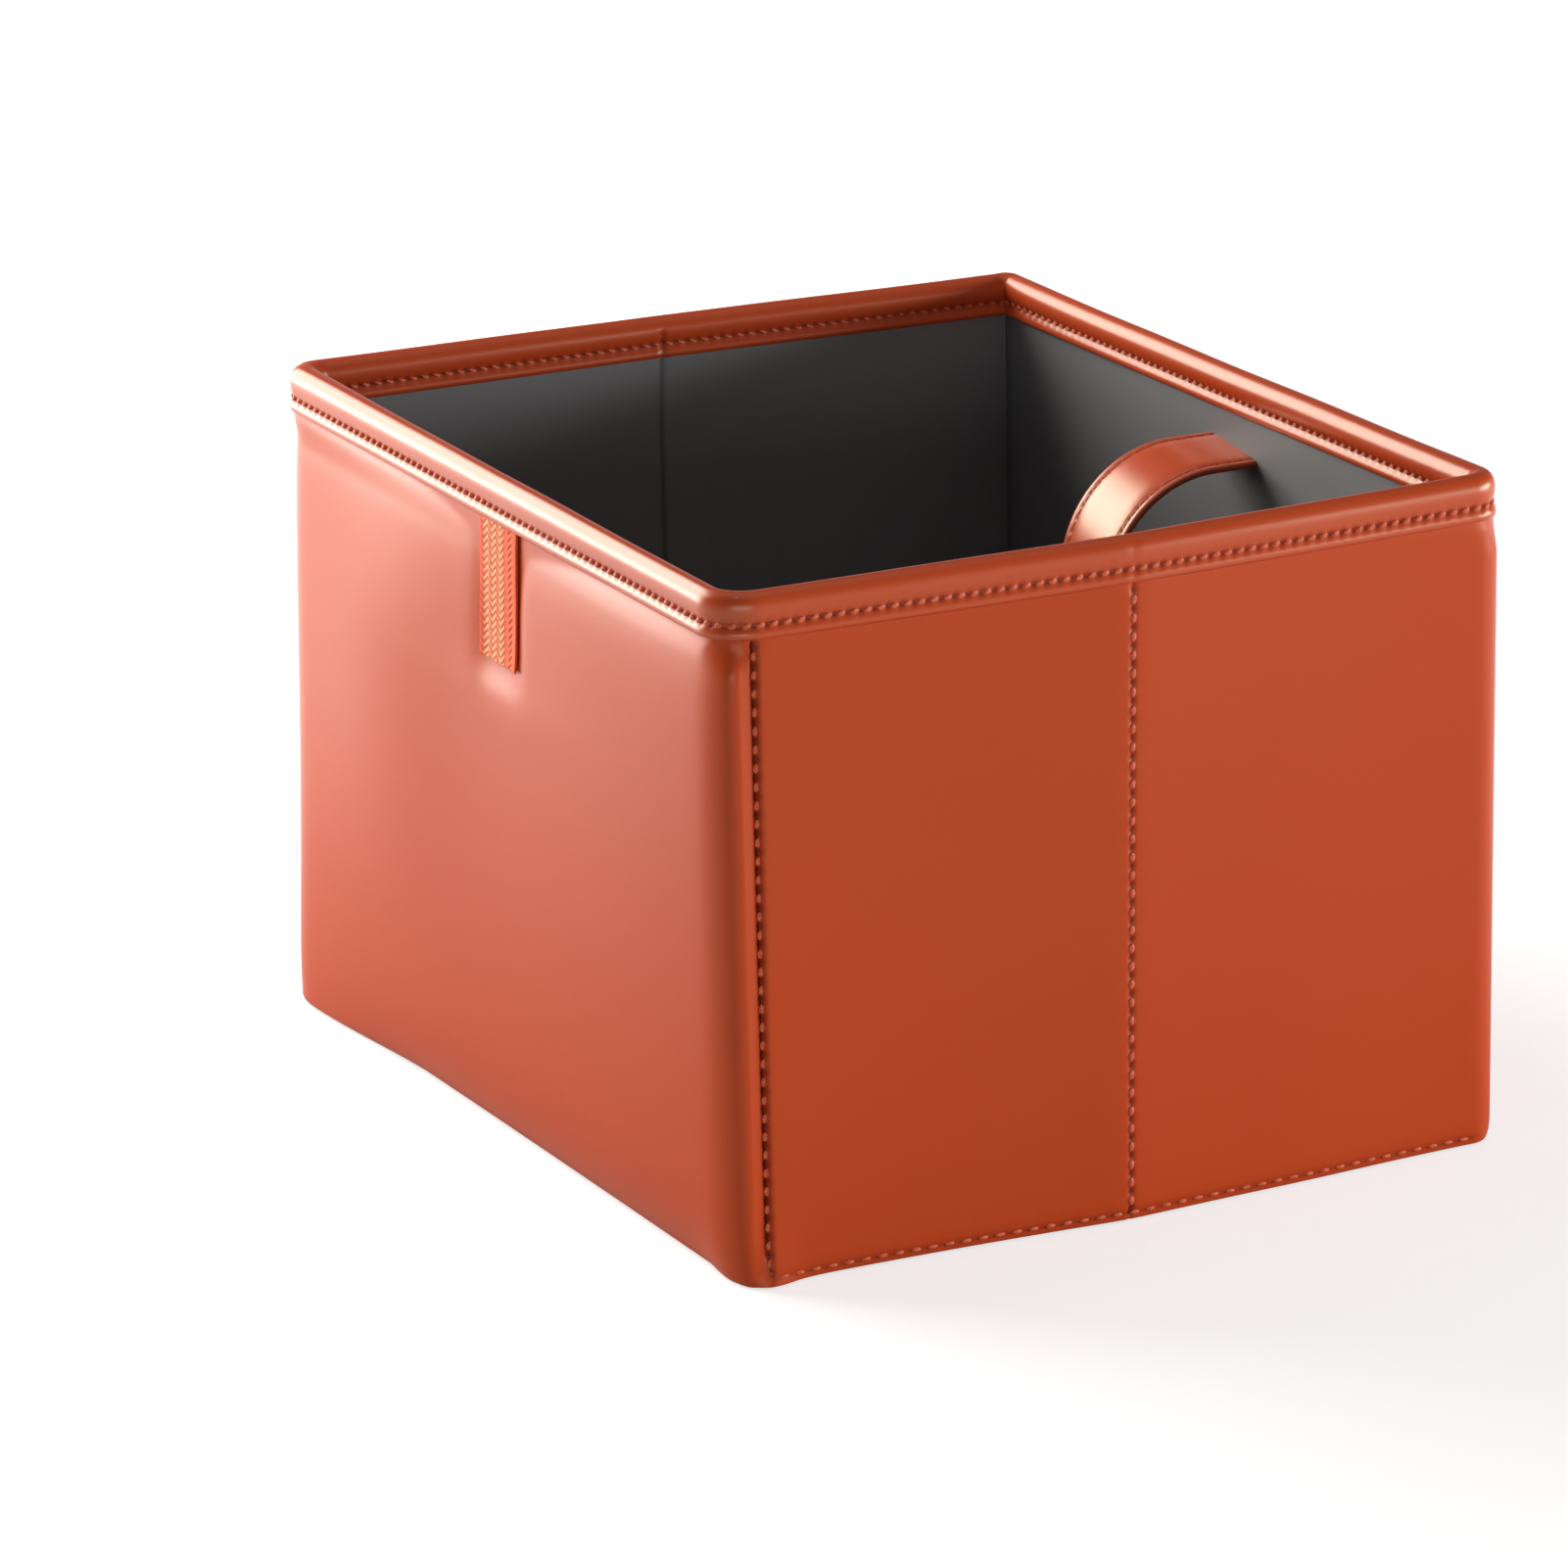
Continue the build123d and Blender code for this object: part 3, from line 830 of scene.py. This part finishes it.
def needle_marks(s, z, row, here):
    """Dimples of one row of stitches: slanted needle holes between the threads."""
    slant = thread_slant * (z - row)
    beat = np.mod(s - slant, rim_pitch) / rim_pitch
    hole = bell(np.minimum(beat, 1 - beat), 0.19)
    close = bell(z - row, 0.8)
    return here * hole * close, here * close


def rim_rule(column, row):
    s = column * rim_pitch / per_stitch
    point, out, turning, part = rim_path(s)
    offset, z = section[row, 0], section[row, 1]
    shown = row <= hidden_from
    outside = shown & (offset > 0) & (z < 160)
    inside = shown & (offset < 0) & (z < 161)
    hole, pinch = needle_marks(s, z, row_height, outside)
    inner_hole, inner_pinch = needle_marks(s, z, inner_row_height, inside * (part % 2 == 0))
    wave = np.sin(s / 17.0) * np.sin(s / 41.0 + 1)
    fold_line = bell(point[:, 1], 1.2) * (point[:, 0] > side_wall) * shown
    push = 0.08 * wave * shown - 0.45 * hole - 0.1 * fold_line
    pull = 0.45 * inner_hole
    crease = bell(point[:, 1], 0.8) * (np.abs(point[:, 0]) > side_wall) * inside
    pleat = turning**12 * inside
    offset = np.where(offset < 0, offset + pull + 0.5 * crease + 0.5 * pleat, offset + push)
    z = z + (0.10 * wave + 0.2 * turning * (part == 5)) * (z > 161)
    points = np.column_stack([point + out * offset[:, None], z])
    # Painted shade: darker in the needle holes, faintly along each row of stitches, and in the inner
    # crease at the folds.
    painted_shade = np.maximum(hole + 0.04 * pinch, 0.9 * inner_hole + 0.06 * inner_pinch)
    return points, painted_shade + 0.4 * crease


rim = lay("rim_strip", per_stitch * rim_stitches + 1, len(section), rim_rule)
close_up(rim)
finish(rim, rim_leather, "leather", "rim_binding")
print("rim stitches:", rim_stitches, "at", round(rim_pitch, 2), "mm")

# %% [markdown]
# ## Stitches
# Each stitch is a small bead of waxed thread between two needle holes. The model of them all
# is a sphere with few faces, turned to have its poles at the ends. It is copied along every
# row, pulled to that row's size, and each row is joined into one piece.

# %% One stitch, and how a row is sewn
select_only()
bpy.ops.mesh.primitive_uv_sphere_add(segments=8, ring_count=6, radius=0.5)
stitch_model = bpy.context.object
stitch_model.name = "stitch_model"
edit_all(stitch_model)
bpy.ops.transform.rotate(value=math.pi / 2, orient_axis="Y", center_override=(0, 0, 0))
bpy.ops.object.mode_set(mode="OBJECT")


def sew(name, marks, length, wide, high):
    """Copies the stitch to every mark, (place, along, out), and joins the row. Sizes in mm."""
    row = []
    for place, along, out in marks:
        along, out = Vector(along).normalized(), Vector(out).normalized()
        side = out.cross(along).normalized()
        out = along.cross(side)
        stitch = stitch_model.copy()
        stitch.data = stitch_model.data.copy()
        turned = Matrix((along * length * mm, side * wide * mm, out * high * mm)).transposed().to_4x4()
        spot = slack(np.array([place], float))[0] * mm
        stitch.data.transform(Matrix.Translation(Vector(spot)) @ turned)
        bpy.context.scene.collection.objects.link(stitch)
        row.append(stitch)
    select_only(*row)
    bpy.ops.object.join()
    piece = bpy.context.object
    piece.name = piece.data.name = name
    close_up(piece)
    finish(piece, waxed_thread, "leather", angle=80)


# %% Rows on the rim
def rim_marks(row, offset, inner):
    """Marks along the rim; the inner row leaves out the corners, which are pleated."""
    s = (np.arange(rim_stitches) + 0.5) * rim_pitch
    point, out, _, part = rim_path(s)
    tangent = np.column_stack([-out[:, 1], out[:, 0]])
    way = -1 if inner else 1
    for i in range(rim_stitches):
        if inner and part[i] % 2 == 1:
            continue
        place = (*(point[i] + out[i] * offset), row)
        yield place, (*tangent[i], thread_slant), (*(way * out[i]), 0)


sew("rim_thread_outside", rim_marks(row_height, 2.75, False), 2.2, 1.5, 0.9)
sew("rim_thread_inside", rim_marks(inner_row_height, -2.66, True), 1.9, 0.9, 0.9)

# %% Rows on the corner seams, the folds and the hems
upright_z = np.arange(first_stitch, rim_edge - 2, stitch_pitch)
level_z = 0 * upright_z
hem_s = np.arange(3, side_run - 2, stitch_pitch)
seam_stitch, hem_stitch = (2.4, 1.7, 1.0), (2.6, 1.1, 1.0)
stitch_lean = 0.12


def place_on_side(side, s, z, sunk):
    """Places on a side panel's face, or in its seam, for stitches."""
    rolled = rolled_under(z, side_reach, side_rise) * side_roll(s)
    return side_point(side, s, z, side_height(s, z) - rolled - sunk)


for wall, side in (("right", 1), ("left", -1)):
    out = (side, 0, 0)
    front_places = place_on_side(side, level_z, upright_z, 0.2)
    rear_places = np.column_stack([level_z + side * seam_x, level_z + sew_level - 0.25, upright_z])
    marks = [(place, (0, stitch_lean, 1), out) for place in front_places]
    marks += [(place, (stitch_lean, 0, 1), (0, 1, 0)) for place in under_rim(rear_places)]
    sew(wall + "_corner_thread", marks, *seam_stitch)
    fold_places = place_on_side(side, level_z + seam_y, upright_z, 0.3)
    sew(wall + "_fold_thread", [(place, (0, stitch_lean, 1), out) for place in fold_places], *seam_stitch)
    hem_places = place_on_side(side, hem_s, 0 * hem_s + hem_level, 0.2)
    sew(wall + "_hem_thread", [(place, (0, 1, 0), out) for place in hem_places], *hem_stitch)

# %% [markdown]
# ## Lining
# Five pieces of smooth black cloth are glued to the boards. They are nearly flat, with a soft
# wave where the glue doesn't hold, a crease along the fold of each side wall and two slits for
# the strap at the rear. Each one is a thin sheet laid just inside its board.

# %% Lining sheets
lining_low, lining_high = 4.0, 160.0
strap_top, strap_low = 146.0, 34.0
lining_end, lining_side, off_board = 98.3, 116.3, 0.55
half_x, half_y = 116.4, 98.2
slit_half, slit_tall, strap_aside = 11, 0.5, 2.0
lining_z = np.concatenate([
    np.linspace(lining_low, 33.2, 10), [34.8], np.linspace(39, 141, 32), [145.2, 146.8],
    np.linspace(149.5, lining_high, 5),
])
beside_strap, beside_crease = np.linspace(-8, 8, 5), [-2, -1, -0.5, 0, 0.5, 1, 2]
lining_x = np.concatenate([np.linspace(-half_x, -11.3, 32), beside_strap, np.linspace(11.3, half_x, 32)])
lining_y = np.concatenate([np.linspace(-half_y, -4, 28), beside_crease, np.linspace(4, half_y, 28)])


def soft_wave(a, z):
    """Slight unevenness of glued cloth, none at the rim or at the floor."""
    fade = np.clip((lining_high - z) / 30, 0, 1) * np.clip((z - lining_low) / 8, 0, 1)
    wide = np.sin(a / 31 + z / 57) * np.sin(z / 37 + 0.7)
    narrow = np.sin(a / 13 + 1) * np.sin(z / 71)
    return fade * (0.3 * wide + 0.15 * narrow)


def strap_pull(x):
    """The strap hangs a little askew and takes its slit along: shift in x and in height."""
    near = bell(x, 30, 4)
    return strap_aside * near, near * (-1.0 - 0.11 * x)


def end_lining(side):
    """Rule for the front (-1) or rear (1) sheet, which the strap pulls a little."""

    def rule(column, row):
        x, z = lining_x[column], lining_z[row]
        inward = off_board + soft_wave(x + 40 * side, z)
        aside, down = strap_pull(x)
        by_strap = bell(z - strap_top, 9, 4) * (side > 0)
        # Painted shade: the sheet is darkened towards its side edges, in the corners of the bin.
        painted_dark = 0.5 * np.exp(-(half_x - np.abs(x)) / 1.5)
        y = side * (lining_end + off_board - inward)
        return np.column_stack([x + aside * by_strap, y, z + down * by_strap]), painted_dark

    return rule


def side_lining(side):
    """Rule for the left (-1) or right (1) sheet, creased along the fold."""

    def rule(column, row):
        y, z = lining_y[column], lining_z[row]
        # The fold's crease sinks in a little and is darkened there as painted shade.
        crease = bell(y, 0.7)
        inward = off_board + soft_wave(y - 30 * side, z) - 0.35 * crease
        return np.column_stack([side * (lining_side + off_board + bow(y) - inward), y, z]), 0.7 * crease

    return rule


def near_top(x, z):
    """Whether a place lies in the upper slit, which the strap pulls askew."""
    x = x - strap_aside
    return abs(x) < slit_half and abs(z - strap_top - strap_pull(x)[1]) < slit_tall


def open_slit(sheet):
    """Deletes the faces that the strap passes through."""
    select_only(sheet)
    bpy.ops.object.mode_set(mode="EDIT")
    bpy.ops.mesh.select_mode(type="FACE")
    bpy.ops.mesh.select_all(action="DESELECT")
    bpy.ops.object.mode_set(mode="OBJECT")
    for face in sheet.data.polygons:
        x, _, z = face.center / mm
        face.select = near_top(x, z) or (abs(x) < slit_half and abs(z - strap_low) < slit_tall)
    bpy.ops.object.mode_set(mode="EDIT")
    bpy.ops.mesh.delete(type="FACE")
    bpy.ops.object.mode_set(mode="OBJECT")


cloth_thickness = 0.4
for wall, side in (("front", -1), ("rear", 1), ("right", 1), ("left", -1)):
    at_end = wall in ("front", "rear")
    across, rule = (lining_x, end_lining(side)) if at_end else (lining_y, side_lining(side))
    sheet = lay(wall + "_lining_cloth", len(across), len(lining_z), rule)
    face_outward(sheet, facing(0, -side, 0) if at_end else facing(-side, 0, 0))
    if wall == "rear":
        open_slit(sheet)
    thicken(sheet, cloth_thickness)
    finish(sheet, lining_painted_grey, "lining", wall + "_lining")

# %% Floor lining
sheet, points, edge = level_blank("floor_lining_cloth", 116.2, 98.2)
unevenness = np.sin(points[:, 0] / 29) * np.sin(points[:, 1] / 23)
points[:, 2] = 3.95 + 0.5 * np.exp(-edge / 6) + 0.15 * unevenness
write_points(sheet, points * mm)
face_outward(sheet, facing(0, 0, 1))
thicken(sheet, cloth_thickness)
finish(sheet, lining_painted_grey, "lining", "base_lining")

# %% [markdown]
# ## Pull strap
# The strap is two layers of leather sewn along both edges. It leaves the rear wall through a
# slit, bends down in a loop and goes back in, hanging a little askew. Its flat section with
# rounded, dyed edges is rolled from a blank and swept along the loop, with a sewn groove near
# each edge.

# %% Strap
strap_reach, strap_bend = 42.0, 30.0
strap_pitch, strap_row = 3.4, 9.7
edge_profile = np.array([
    (-12, 0.0), (-11.9, 0.45), (-11.6, 0.75), (-11.0, 0.9), (-10.3, 0.84), (-9.7, 0.66),
    (-9.1, 0.84), (-8.5, 0.95), (-6, 1.0), (-3, 1.02), (0, 1.03),
])
half_profile = np.concatenate([edge_profile, edge_profile[-2::-1] * [-1, 1]])
profile = np.concatenate([half_profile, half_profile[-2:0:-1] * [1, -1], half_profile[:1]])
flat_run, bend_run = strap_reach - strap_bend, strap_bend * math.pi / 2
drop_run = strap_top - strap_low - 2 * strap_bend
loop_length = 2 * flat_run + 2 * bend_run + drop_run
strap_stitches = round(loop_length / strap_pitch)
strap_pitch = loop_length / strap_stitches
shown_s = np.linspace(0, loop_length, 4 * strap_stitches + 1)
strap_s = np.concatenate([[-3.6, -1.8], shown_s, loop_length + np.array([1.8, 3.6])])


def loop(s):
    """Point (y, z) and outward direction of the strap's middle line, from the upper slit on."""
    corner = np.cumsum([flat_run, bend_run, drop_run, bend_run])
    out_run = np.minimum(s, corner[0])
    upper = np.clip(s - corner[0], 0, bend_run) / strap_bend
    fall = np.clip(s - corner[1], 0, drop_run)
    lower = np.clip(s - corner[2], 0, bend_run) / strap_bend
    back_run = np.clip(s - corner[3], 0, None)
    going_out = out_run + strap_bend * np.sin(upper)
    going_back = strap_reach - strap_bend * (1 - np.cos(lower)) - back_run
    away = np.where(lower > 0, going_back, going_out)
    z = strap_top - strap_bend * (1 - np.cos(upper)) - fall - strap_bend * np.sin(lower)
    angle = upper + lower
    return np.column_stack([lining_end - away, z]), np.column_stack([-np.sin(angle), np.cos(angle)])


def askew(x, s):
    """The strap's own share of its tilt, which is gone at the lower slit."""
    aside, down = strap_pull(x)
    share = 1 - ease(s, 0.35 * loop_length, 0.95 * loop_length)
    return aside * share, down * share


def strap_rule(column, row):
    s, x, t = strap_s[column], profile[row, 0], profile[row, 1]
    point, out = loop(s)
    beat = np.mod(s, strap_pitch) / strap_pitch
    in_row = bell(np.abs(x) - strap_row, 0.5)
    hole = bell(np.minimum(beat, 1 - beat), 0.34) * in_row
    t = t - np.sign(t) * 0.3 * hole
    edge = np.clip((np.abs(x) - 11.5) / 0.3, 0, 1)
    aside, down = askew(x, s)
    y, z = (point + out * t[:, None]).T
    # Painted shade in the needle holes; the edges are dyed dark.
    return np.column_stack([x + aside, y, z + down]), 0.95 * hole + 0.85 * edge


strap = lay("pull_strap_leather", len(strap_s), len(profile), strap_rule)
close_up(strap)
finish(strap, strap_leather_painted_lighter, "leather", "pull_strap")

marks = []
for i in range(strap_stitches):
    s = np.array([(i + 0.5) * strap_pitch])
    point, out = loop(s)
    (y, z), (oy, oz) = point[0], out[0]
    for x in (-strap_row, strap_row):
        aside, down = askew(np.array([x]), s)
        for face in (1, -1):
            place = (x + aside[0], y + face * 0.7 * oy, z + face * 0.7 * oz + down[0])
            marks.append((place, (0, -oz, oy), (0, face * oy, face * oz)))
sew("strap_thread", marks, 1.7, 0.7, 0.5)

# %% [markdown]
# ## Woven label
# A ribbon, folded double, hangs from under the rim strip on the front wall. It is a long
# blank folded at its lower end, and its weave, plain with pale picks in the middle, is drawn
# by the material on the ribbon's own UV map.

# %% Ribbon finish
def ribbon_finish():
    woven = Recipe("woven_ribbon")
    uv = woven.add("UVMap").outputs[0]
    split = woven.add("SeparateXYZ", None, Vector=uv)
    across, along = split.outputs[0], split.outputs[1]
    ends = woven.sum(woven.sum(across, 34.0, "MULTIPLY"), 0.0, "SINE")
    zigzag = woven.sum(woven.sum(across, 9.0, "MULTIPLY"), 1.0, "PINGPONG")
    picks = woven.sum(woven.sum(woven.sum(along, 44.0, "MULTIPLY"), zigzag), 6.2832, "MULTIPLY")
    check = woven.sum(woven.sum(picks, 0.0, "SINE"), woven.sum(ends, 0.35, "MULTIPLY"))
    from_middle = woven.sum(woven.sum(across, 0.37, "SUBTRACT"), 0.0, "ABSOLUTE")
    middle_band = woven.span(from_middle, 1, 0, 0.26, 0.31)
    pale = woven.sum(woven.span(check, 0, 1, -0.3, 0.3), middle_band, "MULTIPLY")
    tint = woven.mix(pale, srgb(208, 78, 28), srgb(216, 152, 106))
    woven.set(woven.shader, Base_Color=tint, Roughness=0.7, Specular_IOR_Level=0.3)
    woven.bump(woven.sum(woven.sum(ends, 0.5, "MULTIPLY"), check), 0.5, 0.0002)
    return woven.result


woven_ribbon = ribbon_finish()
print("ribbon:", woven_ribbon.name)

# %% Ribbon
label_half, label_low, label_top = 10.1, 120.2, 156.5
label_x = np.linspace(-label_half, label_half, 25)
run = np.linspace(label_top, label_low, 30)
fold = np.linspace(0, math.pi, 7)[1:-1]
label_z = np.concatenate([run, label_low - 0.28 * np.sin(fold), run[::-1]])
label_t = np.concatenate([np.full(30, 0.12), 0.4 - 0.28 * np.cos(fold), np.full(30, 0.68)])


def label_rule(column, row):
    x, z, t = label_x[column], label_z[row], label_t[row]
    wall_face = front_height(x + label_middle, z)
    hang = np.clip((label_top - z) / 30, 0, 1)
    stand = 0.2 + 0.12 * np.sin(z / 6 + x / 5) * hang + 0.15 * hang * x / label_half
    return np.column_stack([x + label_middle, -(sew_level + wall_face + stand + t), z]), 0 * x


def off_its_middle(centres):
    """A rule for face_outward: each layer of the ribbon faces away from the other."""
    y, none = centres[:, 1], 0 * centres[:, 1]
    return np.column_stack([none, np.sign(y - y.mean()), none])


label = lay("woven_ribbon_label", len(label_x), len(label_z), label_rule)
face_outward(label, off_its_middle)
thicken(label, 0.25)
finish(label, woven_ribbon, "label", "woven_label")

# %% [markdown]
# ## Last lines
# The stitch model has done its work and goes.

# %% Removing the stitch model
bpy.data.objects.remove(stitch_model)
select_only()
